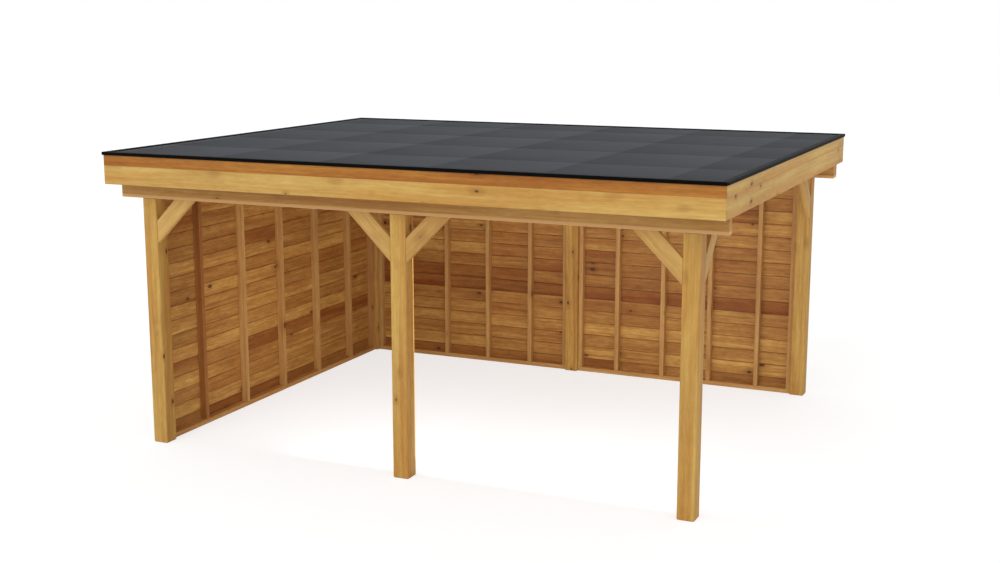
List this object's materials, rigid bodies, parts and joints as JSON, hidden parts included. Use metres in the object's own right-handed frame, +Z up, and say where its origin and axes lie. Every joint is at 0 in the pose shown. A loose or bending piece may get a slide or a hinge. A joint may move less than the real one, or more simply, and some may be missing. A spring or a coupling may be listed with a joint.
{
  "type": "freestanding veranda",
  "caption": "Flat-roofed timber veranda on square posts with knee braces, its left side and back closed with horizontal boarding on studs.",
  "frame": {"origin": "on the ground under the middle of the roof", "axes": "+X right along the open front, +Y from the front to the closed back wall, +Z up"},
  "size_m": [5.63, 4.6, 2.688],
  "materials": {
    "post_timber": "satin",
    "beam_timber": "satin",
    "brace_timber": "satin",
    "wall_frame_timber": "satin",
    "cladding_timber": "matte",
    "fascia_timber": "satin",
    "roof_timber": "matte",
    "roofing_sheet": "matte",
    "trim_metal": "satin"
  },
  "bodies": {
    "root": {"post_front_left": "post_timber", "post_front_middle": "post_timber", "post_front_right": "post_timber", "post_back_left": "post_timber", "post_back_middle": "post_timber", "post_back_right": "post_timber", "beam_front": "beam_timber", "beam_back": "beam_timber", "beam_left": "beam_timber", "beam_right": "beam_timber", "brace_front_left": "brace_timber", "brace_middle_left": "brace_timber", "brace_middle_right": "brace_timber", "brace_front_right": "brace_timber", "brace_side_front": "brace_timber", "brace_side_back": "brace_timber", "roof_joists": "roof_timber", "roof_deck": "roof_timber", "roof_covering": "roofing_sheet", "fascia_front_upper": "fascia_timber", "fascia_front_lower": "fascia_timber", "fascia_back_upper": "fascia_timber", "fascia_back_lower": "fascia_timber", "fascia_left_upper": "fascia_timber", "fascia_left_lower": "fascia_timber", "fascia_right_upper": "fascia_timber", "fascia_right_lower": "fascia_timber", "edge_trim_front": "trim_metal", "edge_trim_back": "trim_metal", "edge_trim_left": "trim_metal", "edge_trim_right": "trim_metal", "left_wall_bottom_rail": "wall_frame_timber", "left_wall_top_rail": "wall_frame_timber", "left_wall_studs": "wall_frame_timber", "left_wall_cladding": "cladding_timber", "back_wall_left_bottom_rail": "wall_frame_timber", "back_wall_left_top_rail": "wall_frame_timber", "back_wall_left_studs": "wall_frame_timber", "back_wall_left_cladding": "cladding_timber", "back_wall_right_bottom_rail": "wall_frame_timber", "back_wall_right_top_rail": "wall_frame_timber", "back_wall_right_studs": "wall_frame_timber", "back_wall_right_cladding": "cladding_timber"}
  },
  "joints": []
}
